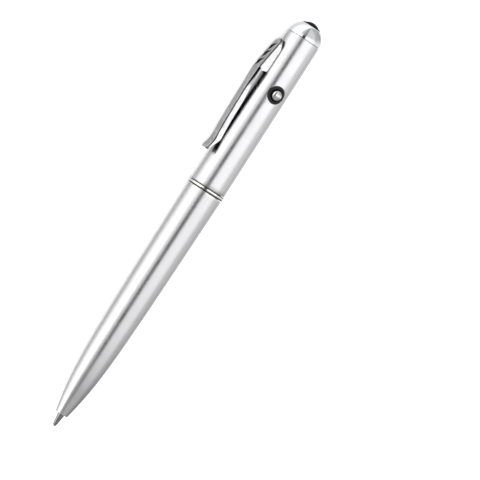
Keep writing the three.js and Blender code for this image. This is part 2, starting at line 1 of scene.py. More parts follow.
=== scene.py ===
# %% [markdown]
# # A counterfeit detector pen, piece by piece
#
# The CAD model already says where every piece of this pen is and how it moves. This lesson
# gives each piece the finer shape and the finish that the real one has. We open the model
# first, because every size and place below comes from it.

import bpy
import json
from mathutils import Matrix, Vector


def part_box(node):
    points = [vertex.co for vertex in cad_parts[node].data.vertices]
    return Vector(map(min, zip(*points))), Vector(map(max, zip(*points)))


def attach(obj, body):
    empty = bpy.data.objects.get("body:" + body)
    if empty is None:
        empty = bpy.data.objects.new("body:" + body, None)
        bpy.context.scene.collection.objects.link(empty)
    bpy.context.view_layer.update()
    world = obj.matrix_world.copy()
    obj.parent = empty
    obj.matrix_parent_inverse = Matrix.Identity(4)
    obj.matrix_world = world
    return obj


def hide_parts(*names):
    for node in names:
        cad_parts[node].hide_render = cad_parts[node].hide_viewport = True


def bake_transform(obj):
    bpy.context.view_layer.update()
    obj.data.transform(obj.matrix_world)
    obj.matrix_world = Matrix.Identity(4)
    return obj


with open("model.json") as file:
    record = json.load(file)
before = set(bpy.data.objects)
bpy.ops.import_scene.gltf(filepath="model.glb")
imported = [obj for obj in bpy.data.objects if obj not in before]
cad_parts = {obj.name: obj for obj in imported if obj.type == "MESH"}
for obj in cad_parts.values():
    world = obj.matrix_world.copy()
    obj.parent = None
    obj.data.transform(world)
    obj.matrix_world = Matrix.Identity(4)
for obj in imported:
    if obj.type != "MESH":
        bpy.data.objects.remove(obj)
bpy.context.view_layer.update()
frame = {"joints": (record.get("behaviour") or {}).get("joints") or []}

# %% Blender's own tools
import bisect
import json
import math

import bmesh
import bpy
from mathutils import Matrix, Vector

# %% [markdown]
# ## Drawing the pen upright
#
# The pen lies on a table, rolled onto its clip, so its own directions aren't the world's. It
# is far easier to draw each piece standing up, in millimetres from the writing tip, and to
# let one matrix lay it down. The matrix comes from three facts in the model: the centre
# ring's box gives the pen's axis, the ball gives its end, and the button's joint says which
# way the button faces.

# %% The pen's axes
MM = 0.001
ring_low, ring_high = (Vector(corner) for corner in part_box("centre_ring"))
_, ball_high = (Vector(corner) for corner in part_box("writing_ball"))
press = next(joint for joint in frame["joints"] if joint["name"] == "button_press")
to_lamp = Vector((-1, 0, 0))
to_button = -Vector(press["axis"]).normalized()
from_clip = to_lamp.cross(to_button)
middle = (ring_low + ring_high) / 2
PEN = (
    Matrix.Translation((ball_high.x, middle.y, middle.z))
    @ Matrix((to_button, from_clip, to_lamp)).transposed().to_4x4()
    @ Matrix.Scale(MM, 4)
)
print("pen axis at", [round(value / MM, 3) for value in (middle.y, middle.z)], "mm")

# %% The button's axes
BUTTON_Z = 117
BUTTON = PEN @ Matrix.Translation((0, 0, BUTTON_Z)) @ Matrix.Rotation(math.pi / 2, 4, "Y")
print("the button presses towards", [round(value, 3) for value in press["axis"]])

# %% [markdown]
# ## The camera
#
# A long lens from well over a metre away keeps the barrel's sides parallel. It looks square
# onto the pen from a little above the table, and it is rolled so that the pen runs from
# lower left to upper right. Building the rotation from its three axes avoids any guesswork
# with angles.

# %% Camera
RISE = math.radians(36.7)
LEAN = math.radians(57.1)
DISTANCE = 1.2
FOCAL_LENGTH = 306
MIDDLE_Z = 70.5
AIM_RIGHT, AIM_DOWN = 0.01653, 0.00453
towards_camera = Vector((0, -math.cos(RISE), math.sin(RISE)))
across = Vector((0, math.sin(RISE), math.cos(RISE)))
picture_right = math.cos(LEAN) * to_lamp + math.sin(LEAN) * across
picture_up = math.sin(LEAN) * to_lamp - math.cos(LEAN) * across
look_at = PEN @ Vector((0, 0, MIDDLE_Z)) + AIM_RIGHT * picture_right - AIM_DOWN * picture_up

lens = bpy.data.cameras.new("camera")
lens.sensor_width = 36
lens.lens = FOCAL_LENGTH
lens.clip_start = 0.01
camera = bpy.data.objects.new("camera", lens)
bpy.context.scene.collection.objects.link(camera)
turn = Matrix((picture_right, picture_up, towards_camera)).transposed().to_4x4()
camera.matrix_world = Matrix.Translation(look_at + DISTANCE * towards_camera) @ turn
bpy.context.scene.camera = camera
print("camera at", [round(value, 3) for value in camera.matrix_world.translation])

# %% [markdown]
# ## Light
#
# Polished metal shows the room it stands in, so the light is designed as a room. Overhead is
# a wide soft box, behind the camera there is a dark band, and the far side is a pale wall.
# Those stripes, wrapped round the barrel, are what makes it read as metal. The room is drawn
# in the world's shader, by the angle of each direction above the near horizon. Towards its
# two ends the room is a plainer grey, because the nose and the dome look that way.


# %% Helpers that wire shader nodes
def wire(tree, kind, settings=(), **inputs):
    """Adds a node, sets its properties, and sets or links its inputs by name or number."""
    node = tree.nodes.new(kind)
    for key, value in dict(settings).items():
        setattr(node, key, value)
    for key, value in inputs.items():
        socket = node.inputs[int(key[1:])] if key[0] == "i" and key[1:].isdigit() else (
            node.inputs[key.replace("_", " ")]
        )
        if isinstance(value, bpy.types.NodeSocket):
            tree.links.new(value, socket)
        else:
            socket.default_value = value
    return node


def maths(tree, operation, *values):
    """One sum in a shader."""
    inputs = {f"i{place}": value for place, value in enumerate(values)}
    return wire(tree, "ShaderNodeMath", {"operation": operation}, **inputs).outputs[0]


def ramped(tree, value, start, stop, low=0.0, high=1.0):
    """Carries a value's span from start to stop over to another span."""
    return wire(
        tree, "ShaderNodeMapRange", Value=value,
        From_Min=start, From_Max=stop, To_Min=low, To_Max=high,
    ).outputs[0]


def blended(tree, share, first, second):
    """A colour that lies between two others."""
    mix = wire(tree, "ShaderNodeMix", {"data_type": "RGBA"})
    for socket, value in zip((mix.inputs[0], mix.inputs[6], mix.inputs[7]), (share, first, second)):
        if isinstance(value, bpy.types.NodeSocket):
            tree.links.new(value, socket)
        else:
            socket.default_value = value if isinstance(value, float) else (*value, 1)
    return mix.outputs[2]


def steps_of(ramp, stops):
    """Sets a colour ramp from (position, grey) pairs."""
    elements = ramp.color_ramp.elements
    elements.remove(elements[0])
    for place, (position, tone) in enumerate(stops):
        element = elements.new(position) if place else elements[0]
        element.position = position
        element.color = (tone, tone, tone, 1)


# %% The room
ROOM_STRENGTH = 2.0
ROOM_STRIPES = [  # degrees above the near horizon, brightness
    (0, 0.6), (17, 0.6), (22, 0.01), (38, 0.01), (46, 0.82), (100, 0.82),
    (118, 0.48), (134, 0.6), (153, 0.82), (180, 0.88),
]
ROOM_ALONG = [  # from the lamp's end (-1) to the tip's end (1), brightness
    (-1, 1.0), (-0.05, 1.0), (0.03, 0.8), (0.10, 0.5), (0.25, 0.42), (1, 0.3),
]
TIP_END_TONE = (0.5, 0.5, 0.5)
LAMP_END_TONE = (0.22, 0.22, 0.22)
world = bpy.data.worlds.new("studio")
bpy.context.scene.world = world
world.use_nodes = True
room = world.node_tree
room.nodes.clear()
facing = wire(room, "ShaderNodeTexCoord").outputs["Generated"]
parts = wire(room, "ShaderNodeSeparateXYZ", Vector=facing).outputs
angle = maths(room, "ARCTAN2", parts["Z"], maths(room, "MULTIPLY", parts["Y"], -1.0))
share = maths(room, "DIVIDE", angle, math.pi)
stripes = wire(room, "ShaderNodeValToRGB", Fac=share)
steps_of(stripes, [(degrees / 180, tone) for degrees, tone in ROOM_STRIPES])
along = wire(room, "ShaderNodeValToRGB", Fac=maths(room, "MULTIPLY_ADD", parts["X"], 0.5, 0.5))
steps_of(along, [((place + 1) / 2, tone) for place, tone in ROOM_ALONG])
strength = maths(room, "MULTIPLY", along.outputs[0], ROOM_STRENGTH)
tip_end = ramped(room, parts["X"], 0.08, 0.3, high=0.7)
lamp_end = ramped(room, parts["X"], -0.2, -0.5, high=0.75)
tones = blended(room, tip_end, stripes.outputs[0], TIP_END_TONE)
tones = blended(room, lamp_end, tones, LAMP_END_TONE)
glow = wire(room, "ShaderNodeBackground", Color=tones, Strength=strength)
wire(room, "ShaderNodeOutputWorld", Surface=glow.outputs[0])
bpy.context.scene.view_settings.view_transform = "Standard"
print("room stripes:", len(ROOM_STRIPES))

# %% [markdown]
# One real lamp stands on the near side and brightens the table. It is hidden from mirrors,
# so that the metal shows the room and the white table, but never the lamp itself.

# %% A lamp for the table
fill = bpy.data.lights.new("table lamp", "AREA")
fill.shape = "DISK"
fill.size = 0.9
fill.energy = 9.0
fill_lamp = bpy.data.objects.new("table lamp", fill)
bpy.context.scene.collection.objects.link(fill_lamp)
fill_place = Vector((0.3, -0.55, 0.8))
fill_lamp.matrix_world = (
    Matrix.Translation(fill_place) @ fill_place.to_track_quat("Z", "Y").to_matrix().to_4x4()
)
fill_lamp.visible_glossy = False
print("table lamp:", fill.energy, "W")

# %% [markdown]
# ## Finishes
#
# Every finish starts from Blender's Principled shader. What keeps it from looking like plain
# computer metal is small unevenness: the roughness wanders a little, fine grain tilts the
# surface, and edges that get handled are polished brighter. One helper makes each of those
# variations, and each finish below chooses how much of it to use. One more helper is of
# another kind: it paints shade on metal by the direction that it is seen from, darker where
# the surface is seen at a slant.


# %% Unevenness
def speckle(tree, size, detail=2.0, stretch=(1, 1, 1)):
    """Noise with blotches of about a size in millimetres, stretched along the pen if asked."""
    place = wire(tree, "ShaderNodeTexCoord").outputs["Object"]
    scaled = wire(tree, "ShaderNodeMapping", Vector=place, Scale=stretch).outputs[0]
    return wire(
        tree, "ShaderNodeTexNoise", Vector=scaled, Scale=1 / (size * MM), Detail=detail,
    ).outputs[0]


def between(tree, noise, low, high):
    """Stretches a noise, which stays near 0.3 to 0.7, to a wanted span."""
    return ramped(tree, noise, 0.3, 0.7, low, high)


def worn_edges(tree):
    """How far a point is on an outer edge, where handling polishes it."""
    bend = wire(tree, "ShaderNodeNewGeometry").outputs["Pointiness"]
    return ramped(tree, bend, 0.52, 0.6)


def tilt(tree, height, strength, depth):
    """A bump from a height, with its depth in millimetres."""
    return wire(
        tree, "ShaderNodeBump", Strength=strength, Distance=depth * MM, Height=height,
    ).outputs[0]


def paint_slant_shade(tree, colour, share):
    """Painted shade: darkens a metal's colour where it is seen at a slant, so it follows the viewer.
    """
    facing = wire(tree, "ShaderNodeLayerWeight", Blend=0.5).outputs["Facing"]
    return blended(tree, ramped(tree, facing, 0.2, 0.5, high=share), colour, (0.0, 0.0, 0.0))


FINISHES = {}


def finish(slot, **uniform):
    """Starts the finish of one material slot: a Principled shader and its tree."""
    material = bpy.data.materials.new(slot.replace("_", " "))
    material.use_nodes = True
    tree = material.node_tree
    shader = tree.nodes["Principled BSDF"]
    for name, value in uniform.items():
        shader.inputs[name.replace("_", " ")].default_value = value
    FINISHES[slot] = material
    return tree, shader


def join(tree, shader, **sockets):
    """Links colours, roughness and bumps into the shader."""
    for name, socket in sockets.items():
        tree.links.new(socket, shader.inputs[name.replace("_", " ")])


# %% [markdown]
# ## Satin silver and chrome
#
# The barrels are lacquered in satin silver: tiny metal flakes, so the colour is a soft grey
# with a very fine grain and the reflections are blurred. The ring, the dome, the button and
# the clip are chrome-plated: almost a mirror, with faint smudges where fingers touch. Two
# values that the pieces carry tell the chrome where it is painted black and where it is
# brushed dull, as on the face of the clip. Most of that black is painted shade and painted
# dark reflection: at the ring's rims, on the button's flank, along the clip's edge and inside
# the clip.

# %% Satin silver
tree, shader = finish("satin_aluminium", Metallic=1.0)
grain = speckle(tree, 0.12, detail=3.0)
cloud = speckle(tree, 6.0)
silver = blended(tree, cloud, (0.70, 0.70, 0.71), (0.76, 0.76, 0.77))
worn = blended(tree, worn_edges(tree), silver, (0.84, 0.84, 0.85))
join(
    tree, shader,
    # painted shade: the satin silver is darker where it is seen at a slant
    Base_Color=paint_slant_shade(tree, worn, 0.6),
    Roughness=between(tree, cloud, 0.25, 0.31),
    Normal=tilt(tree, grain, 0.15, 0.008),
)
print("satin silver:", len(tree.nodes), "shader nodes")

# %% Chrome
tree, shader = finish("chrome_plate", Specular_IOR_Level=0.05)
smudge = speckle(tree, 2.5, detail=4.0)
ripple = speckle(tree, 1.6, detail=1.0)
plated = blended(tree, smudge, (0.80, 0.81, 0.83), (0.88, 0.89, 0.90))
# black: painted shade and dark reflection on the ring, the button and the clip, and the black of the
# clip's notches and the dome's mouth
black = wire(tree, "ShaderNodeAttribute", {"attribute_name": "shade_and_black_paint"}).outputs["Fac"]
brushed = wire(tree, "ShaderNodeAttribute", {"attribute_name": "brushed"}).outputs["Fac"]
streak = speckle(tree, 0.5, detail=3.0, stretch=(0.5, 1, 1))
matt = blended(tree, between(tree, streak, 0.0, 1.0), (0.30, 0.30, 0.305), (0.74, 0.74, 0.75))
# painted shade: the chrome is darker where it is seen at a slant
chrome = paint_slant_shade(tree, blended(tree, brushed, plated, matt), 0.5)
polish = between(tree, smudge, 0.05, 0.11)
rough = maths(tree, "MAXIMUM", polish, maths(tree, "MULTIPLY", brushed, 0.3))
join(
    tree, shader,
    Base_Color=blended(tree, black, chrome, (0.004, 0.004, 0.004)),
    Metallic=maths(tree, "SUBTRACT", 1.0, black),
    Roughness=maths(tree, "MAXIMUM", rough, black),
    Normal=tilt(tree, ripple, 0.1, 0.01),
)
print("chrome:", len(tree.nodes), "shader nodes")

# %% [markdown]
# ## The plain metals
#
# Inside are brass, drawn steel wire, nickel-plated cells and a hard carbide ball. They differ
# in colour and in how they were made. Turned brass keeps fine rings from the lathe, and wire
# keeps streaks along its length, so each gets its own grain size and stretch.


# %% Bare metals
def bare_metal(slot, dull, bright, rough, grain_size, stretch):
    """A bare metal with tool marks and slight tarnish."""
    tree, shader = finish(slot, Metallic=1.0)
    tarnish = speckle(tree, 3.0, detail=3.0)
    marks = speckle(tree, grain_size, stretch=stretch)
    join(
        tree, shader,
        # painted shade: the metal is darker where it is seen at a slant
        Base_Color=paint_slant_shade(tree, blended(tree, tarnish, dull, bright), 0.6),
        Roughness=between(tree, marks, rough * 0.8, rough * 1.25),
        Normal=tilt(tree, marks, 0.3, 0.006),
    )


bare_metal("brass", (0.66, 0.50, 0.22), (0.82, 0.68, 0.38), 0.26, 0.25, (6, 1, 1))
bare_metal("spring_steel", (0.26, 0.26, 0.27), (0.42, 0.42, 0.43), 0.2, 0.2, (1, 4, 4))
bare_metal("nickel_cell", (0.68, 0.67, 0.64), (0.82, 0.81, 0.79), 0.3, 0.15, (3, 1, 1))
bare_metal("carbide", (0.38, 0.40, 0.42), (0.48, 0.50, 0.52), 0.14, 0.1, (1, 1, 1))
print("bare metals ready")

# %% [markdown]
# ## Plastics, rubber, board and ink
#
# Moulded plastic has a fine spark-eroded grain, acetal looks slightly waxy, and rubber is
# dull. The lamp's window is polished and very dark violet, because it passes ultraviolet
# light and stops most of what we see. The lamp itself is clear epoxy.


# %% Moulded plastics
def moulded(slot, dark, light, rough, grain_size=0.12, **uniform):
    """A moulded plastic with a fine matt grain and slightly rubbed edges."""
    tree, shader = finish(slot, **uniform)
    grain = speckle(tree, grain_size, detail=3.0)
    patches = speckle(tree, 4.0)
    body = blended(tree, patches, dark, light)
    rubbed = tuple(min(1, tone * 1.3 + 0.02) for tone in light)
    join(
        tree, shader,
        Base_Color=blended(tree, worn_edges(tree), body, rubbed),
        Roughness=between(tree, patches, rough * 0.9, rough * 1.1),
        Normal=tilt(tree, grain, 0.3, 0.01),
    )


moulded("black_plastic", (0.004, 0.004, 0.004), (0.008, 0.008, 0.008), 0.4, Specular_IOR_Level=0.1)
moulded("white_plastic", (0.74, 0.74, 0.70), (0.82, 0.82, 0.78), 0.42, Subsurface_Weight=0.1)
moulded("rubber", (0.015, 0.015, 0.015), (0.03, 0.03, 0.03), 0.75, 0.2)
moulded("component", (0.02, 0.02, 0.022), (0.05, 0.05, 0.052), 0.5)
moulded("ink", (0.006, 0.008, 0.02), (0.012, 0.015, 0.035), 0.3)

# %% Window and lamp
tree, shader = finish("dark_window", Specular_IOR_Level=0.03, IOR=1.45)
dust = speckle(tree, 0.6, detail=4.0)
join(
    tree, shader,
    Base_Color=blended(tree, dust, (0.005, 0.003, 0.010), (0.012, 0.007, 0.025)),
    Roughness=between(tree, dust, 0.05, 0.10),
    Normal=tilt(tree, dust, 0.05, 0.004),
)
tree, shader = finish("clear_epoxy", Transmission_Weight=0.85, IOR=1.53)
flow = speckle(tree, 1.5)
join(
    tree, shader,
    Base_Color=blended(tree, flow, (0.80, 0.82, 0.95), (0.90, 0.91, 0.98)),
    Roughness=between(tree, flow, 0.05, 0.12),
    Normal=tilt(tree, flow, 0.1, 0.01),
)
print("window and lamp ready")

# %% Circuit board
tree, shader = finish("board", Coat_Weight=0.3, Coat_Roughness=0.2)
weave = speckle(tree, 0.3, stretch=(1, 3, 3))
where = wire(tree, "ShaderNodeTexCoord").outputs["Object"]
tracks = wire(
    tree, "ShaderNodeTexBrick", {"offset": 0.37}, Vector=where,
    Scale=260.0, Mortar_Size=0.05, Color1=(0, 0, 0, 1), Color2=(0, 0, 0, 1), Mortar=(1, 1, 1, 1),
).outputs["Color"]
mask = blended(tree, weave, (0.012, 0.12, 0.05), (0.02, 0.17, 0.075))
join(
    tree, shader,
    Base_Color=blended(tree, tracks, mask, (0.07, 0.30, 0.12)),
    Roughness=between(tree, weave, 0.4, 0.55),
    Normal=tilt(tree, tracks, 0.3, 0.03),
)
print("finishes:", sorted(FINISHES))

# %% [markdown]
# ## Turning pieces on a lathe
#
# Most of this pen is turned work, so one helper does what a lathe does: it spins an outline
# about an axis. Real machined edges are never razor sharp, so the outline's corners are
# rounded first. Rounding the outline is cleaner than a bevel on the finished mesh, because
# the rings of faces stay even.


# %% Rounded corners
def soften(outline, reach, closed, bends=3):
    """Rounds each corner of an outline, by at most a reach along both of its sides."""
    smooth = []
    for place, corner in enumerate(outline):
        here = Vector(corner)
        if not closed and place in (0, len(outline) - 1):
            smooth.append(here)
            continue
        back = Vector(outline[place - 1]) - here
        ahead = Vector(outline[(place + 1) % len(outline)]) - here
        if back.angle(-ahead) < math.radians(12):
            smooth.append(here)
            continue
        start = here + back.normalized() * min(reach, 0.45 * back.length)
        stop = here + ahead.normalized() * min(reach, 0.45 * ahead.length)
        for bend in range(bends + 1):
            t = bend / bends
            smooth.append((1 - t) ** 2 * start + 2 * t * (1 - t) * here + t * t * stop)
    return smooth


# %% The lathe
def stitch(shape, loops, around=True):
    """Joins closed loops of points with faces, and the last loop to the first if asked."""
    for near, far in zip(loops, loops[1:] + (loops[:1] if around else [])):
        for side, _ in enumerate(near):
            after = (side + 1) % len(near)
            corners = dict.fromkeys((near[side], near[after], far[after], far[side]))
            if len(corners) > 2:
                shape.faces.new(corners)


def turned(outline, place=PEN, reach=0.06, sides=96):
    """A bmesh spun from an outline of (radius, height)."""
    closed = outline[0][0] > 0 and outline[-1][0] > 0
    shape = bmesh.new()
    rings = []
    for radius, height in soften(outline, reach, closed):
        if radius < 1e-6:
            rings.append([shape.verts.new(place @ Vector((0, 0, height)))] * sides)
            continue
        turns = (2 * math.pi * side / sides for side in range(sides))
        rings.append([
            shape.verts.new(place @ Vector((radius * math.cos(t), radius * math.sin(t), height)))
            for t in turns
        ])
    stitch(shape, rings, closed)
    bmesh.ops.recalc_face_normals(shape, faces=shape.faces)
    return shape


# %% From bmesh to a finished piece
def made(name, shape, slot, crease=32):
    """Turns a bmesh into an object with its finish, smooth except at creases."""
    mesh = bpy.data.meshes.new(name)
    shape.to_mesh(mesh)
    shape.free()
    mesh.polygons.foreach_set("use_smooth", [True] * len(mesh.polygons))
    mesh.set_sharp_from_angle(angle=math.radians(crease))
    mesh.materials.append(FINISHES[slot])
    piece = bpy.data.objects.new(name, mesh)
    bpy.context.scene.collection.objects.link(piece)
    return piece


def paint(piece, place, painted):
    """Marks where chrome is painted black, by the height along a piece's own axis; on the ring and the
    button that black is painted shade and dark reflection.
    """
    back = place.inverted()
    layer = piece.data.attributes.new("shade_and_black_paint", "FLOAT", "POINT")
    for vert, value in zip(piece.data.vertices, layer.data):
        value.value = float(painted((back @ vert.co).z))


def fit(piece, body, *nodes):
    """Hangs a piece on its body in place of CAD nodes, and says how fine it is."""
    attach(piece, body)
    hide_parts(*nodes)
    print(f"{piece.name}: {len(piece.data.polygons)} faces, rides on {body}")


# %% [markdown]
# ## Lower barrel
#
# The long lower barrel is an ogive: narrow at the nose, swelling quickly and then hardly at
# all. A curve through seven measured points gives that flow. Inside, the bore steps down to
# a seat for the spring, and the top is counterbored for a brass thread.


# %% A smooth curve through points
def curve_through(points, steps):
    """A Catmull-Rom curve through points, as a list of points."""
    knots = [Vector(point) for point in points]
    spans = len(knots) - 1
    curve = []
    for step in range(steps + 1):
        whole = min(int(step * spans / steps), spans - 1)
        t = step * spans / steps - whole
        p0, p1 = knots[max(whole - 1, 0)], knots[whole]
        p2, p3 = knots[whole + 1], knots[min(whole + 2, spans)]
        v0, v1 = (p2 - p0) / 2, (p3 - p1) / 2
        curve.append(
            (2 * p1 - 2 * p2 + v0 + v1) * t ** 3 + (3 * p2 - 3 * p1 - 2 * v0 - v1) * t ** 2
            + v0 * t + p1
        )
    return curve


# %% Lower barrel
NOSE_Z = 4.2
LOWER_TOP = 82.0
SEAM_RADIUS = 5.65
ogive = curve_through([
    (2.02, NOSE_Z), (2.95, 9.0), (3.95, 16.0), (4.7, 26.5), (5.2, 44.0), (5.5, 66.0),
    (SEAM_RADIUS, LOWER_TOP),
], 66)
bore = [
    (5.0, LOWER_TOP), (5.0, 70), (4.3, 70), (3.9, 42), (2.15, 36), (2.15, 10.7), (1.3, 10.7),
    (1.3, NOSE_Z),
]
barrel = made("lower_barrel_turned", turned([*ogive, *bore], sides=128), "satin_aluminium")
fit(barrel, "lower", "lower_barrel")

# %% Brass thread inside it
PITCH = 0.75


def threaded(inner, outer, low, high, crest, place=PEN, sides=72, rows=8):
    """A tube whose inner or outer wall carries a helical thread. crest is signed height."""
    shape = bmesh.new()
    count = round((high - low) / PITCH * rows)
    walls = []
    for wall, depth in ((outer, max(crest, 0)), (inner, min(crest, 0))):
        grid = []
        for row in range(count + 1):
            height = low + (high - low) * row / count
            ease = min(1, row / rows, (count - row) / rows)
            ring = []
            for side in range(sides):
                t = 2 * math.pi * side / sides
                phase = (height / PITCH - side / sides) % 1
                radius = wall + depth * ease * (1 - abs(2 * phase - 1))
                spot = Vector((radius * math.cos(t), radius * math.sin(t), height))
                ring.append(shape.verts.new(place @ spot))
            grid.append(ring)
        walls.append(grid)
    stitch(shape, walls[0] + walls[1][::-1])
    bmesh.ops.recalc_face_normals(shape, faces=shape.faces)
    return shape


insert = made("thread_insert_turned", threaded(4.64, 4.95, 70.05, 81.95, -0.12), "brass", 50)
fit(insert, "lower", "thread_insert")

# %% [markdown]
# ## Refill
#
# A ballpoint refill is a thin metal tube with a cone pressed into it, and the ball sits in
# the cone's rim. Tube and cone are drawn and turned steel, and the ball is ground carbide.

# %% Cone and ball
cone = [
    (0.475, 0.27), (0.56, 0.3), (0.66, 0.95), (0.70, 1.0), (1.05, 3.9), (1.09, 4.2),
    (1.15, 5.4), (1.175, 5.7), (1.175, 6.95), (0.9, 6.95), (0.9, 10.0), (0.3, 10.0), (0.3, 1.3),
    (0.56, 1.1), (0.56, 0.46),
]
tip = made("refill_tip_turned", turned(cone, reach=0.03, sides=64), "spring_steel")
fit(tip, "refill", "refill_tip")
arc = [math.radians(-90 + 180 * step / 24) for step in range(25)]
ball = turned([(0.5 * math.cos(a), 0.5 + 0.5 * math.sin(a)) for a in arc], reach=0, sides=48)
fit(made("writing_ball_ground", ball, "carbide", 60), "ball", "writing_ball")

# %% Tube and ink
tube = [
    (1.175, 7.0), (1.175, 27.2), (1.55, 27.4), (1.55, 28.0), (1.175, 28.2), (1.175, 67),
    (0.95, 67), (0.95, 7.0),
]
fit(made("refill_tube_drawn", turned(tube, sides=64), "spring_steel"), "refill", "refill_tube")
ink = [(0, 10.3), (0.85, 10.3), (0.85, 55.8), (0.5, 56), (0, 56)]
fit(made("ink_column_filled", turned(ink, sides=48), "ink"), "refill", "ink_column")

# %% [markdown]
# ## Springs
#
# A spring is a wire swept along a helix. Drawing it as a mesh tube keeps the wire round all
# the way, and closing up the first and last turn gives it the dead coils that real springs
# rest on. The refill's spring is squeezed between the barrel's seat and the refill's ridge.


# %% Winding wire
def wound(spine, wire_radius, place=PEN, sides=10):
    """A round wire along a list of points."""
    shape = bmesh.new()
    rings = []
    for index, point in enumerate(spine):
        ahead = spine[min(index + 1, len(spine) - 1)] - spine[max(index - 1, 0)]
        outward = Vector((point.x, point.y, 0)).normalized()
        up = ahead.cross(outward).normalized()
        outward = up.cross(ahead).normalized()
        turns = (2 * math.pi * side / sides for side in range(sides))
        rings.append([
            shape.verts.new(place @ (point + wire_radius * (math.cos(t) * outward + math.sin(t) * up)))
            for t in turns
        ])
    stitch(shape, rings, around=False)
    shape.faces.new(rings[0])
    shape.faces.new(rings[-1])
    bmesh.ops.recalc_face_normals(shape, faces=shape.faces)
    return shape


def helix(first, last, low, high, turns, closed=0.9, per_turn=24):
    """Points of a helix between two radii, with a closed turn at each end."""
    steps = round(turns * per_turn)
    rises = []
    for step in range(steps):
        turn = (step + 0.5) / per_turn
        rises.append(0.3 if min(turn, turns - turn) < closed else 1.0)
    height, points = 0, []
    for step in range(steps + 1):
        share = step / steps
        radius = first + (last - first) * share
        t = 2 * math.pi * step / per_turn
        z = low + (high - low) * height / sum(rises)
        points.append(Vector((radius * math.cos(t), radius * math.sin(t), z)))
        height += rises[step] if step < steps else 0
    return points


# %% Refill spring
spring = made("refill_spring_wound", wound(helix(1.78, 1.78, 10.93, 26.97, 10), 0.18), "spring_steel")
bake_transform(spring)
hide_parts("refill_spring")
print("refill spring:", len(spring.data.polygons), "faces")

# %% Battery spring
contact = wound(helix(3.4, 1.6, 96.25, 98.45, 3.5, closed=0.6), 0.2)
fit(made("battery_spring_wound", contact, "spring_steel"), "upper", "battery_spring")

# %% [markdown]
# ## Twist mechanism
#
# The mechanism body is one turned brass part. The lower barrel screws onto its thread, and
# the upper barrel turns on its stem against the drag of a rubber ring. Two keyways are milled
# through its wall for the pusher's lugs. Milling is a boolean difference, as in the
# workshop.


# %% Milling and joining
def keep_modified(piece, crease):
    """Keeps what a piece's modifiers make of it as its plain mesh."""
    bpy.context.view_layer.update()
    graph = bpy.context.evaluated_depsgraph_get()
    final = bpy.data.meshes.new_from_object(piece.evaluated_get(graph))
    final.set_sharp_from_angle(angle=math.radians(crease))
    piece.modifiers.clear()
    piece.data = final


def combined(name, shape, other, operation, slot, crease=32):
    """One bmesh cut by or joined to another, as a finished piece."""
    piece = made(name, shape, slot, crease)
    tool = made(name + "_tool", other, slot, crease)
    step = piece.modifiers.new("combine", "BOOLEAN")
    step.object = tool
    step.operation = operation
    step.solver = "EXACT"
    keep_modified(piece, crease)
    bpy.data.objects.remove(tool)
    return piece


def bar(low, high, place=PEN, edge=0.08):
    """A bar between two corners, with its edges broken."""
    shape = bmesh.new()
    bmesh.ops.create_cube(shape, size=1)
    centre = (Vector(low) + Vector(high)) / 2
    size = Vector(high) - Vector(low)
    for vert in shape.verts:
        vert.co = centre + Vector(a * b for a, b in zip(vert.co, size))
    if edge:
        bmesh.ops.bevel(
            shape, geom=shape.edges[:], offset=edge, segments=3, profile=0.5, affect="EDGES",
        )
    shape.transform(place)
    return shape


# %% Mechanism body
body = [
    (4.0, 66), (4.0, 72.6), (4.12, 72.8), (4.12, 80.4), (4.3, 80.8), (4.3, 82.05), (4.6, 82.05),
    (4.6, 83.5), (4.5, 83.8), (4.5, 91.0), (4.1, 91.0), (4.1, 92.3), (4.5, 92.3), (4.5, 94),
    (3.2, 94), (3.2, 70), (2.15, 70), (2.15, 66),
]
keyways = bar((-3.72, -0.62, 81.4), (3.72, 0.62, 95), edge=0)
mechanism = combined("mechanism_body_turned", turned(body), keyways, "DIFFERENCE", "brass")
fit(mechanism, "mechanism", "mechanism_body")
thread = made("mechanism_thread", threaded(4.05, 4.12, 73, 80.2, 0.26), "brass", 50)
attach(thread, "mechanism")
print("thread:", len(thread.data.polygons), "faces")

# %% O-ring
CORD_X, CORD_Z, CORD_WIDE, CORD_TALL = 4.36, 91.65, 0.275, 0.5
turns = [math.radians(360 * step / 16) for step in range(16)]
section = [(CORD_X + CORD_WIDE * math.cos(a), CORD_Z + CORD_TALL * math.sin(a)) for a in turns]
fit(made("friction_ring_moulded", turned(section, reach=0), "rubber"), "mechanism", "friction_ring")

# %% Pusher with its two lugs
stem = [(1.25, 62), (2.0, 62), (2.0, 88), (0, 88), (0, 67.2), (1.25, 67.2)]
pusher = combined(
    "refill_pusher_moulded", turned(stem, sides=64), bar((-3.6, -0.5, 82), (3.6, 0.5, 83.6)),
    "UNION", "white_plastic",
)
fit(pusher, "refill", "refill_pusher")

# %% [markdown]
# ## Cam
#
# The fixed cam is a sleeve whose lower edge climbs in two equal ramps. A lug under each ramp
# is drawn up by 5.2 mm in 150 degrees of twist. The edge is a formula, so the sleeve is
# built as a fan of sections, each cut to its own height.

# %% Cam sleeve
LIFT = 5.2
TWIST = math.radians(150)
LUG_ANGLE = math.asin(0.5 / 2.2) + 0.02


def cam_edge(angle):
    """Height of the cam's lower edge, counted the way a lug travels."""
    turned_by = (angle + LUG_ANGLE) % math.pi
    return 83.68 + LIFT * min(turned_by / TWIST, 1)


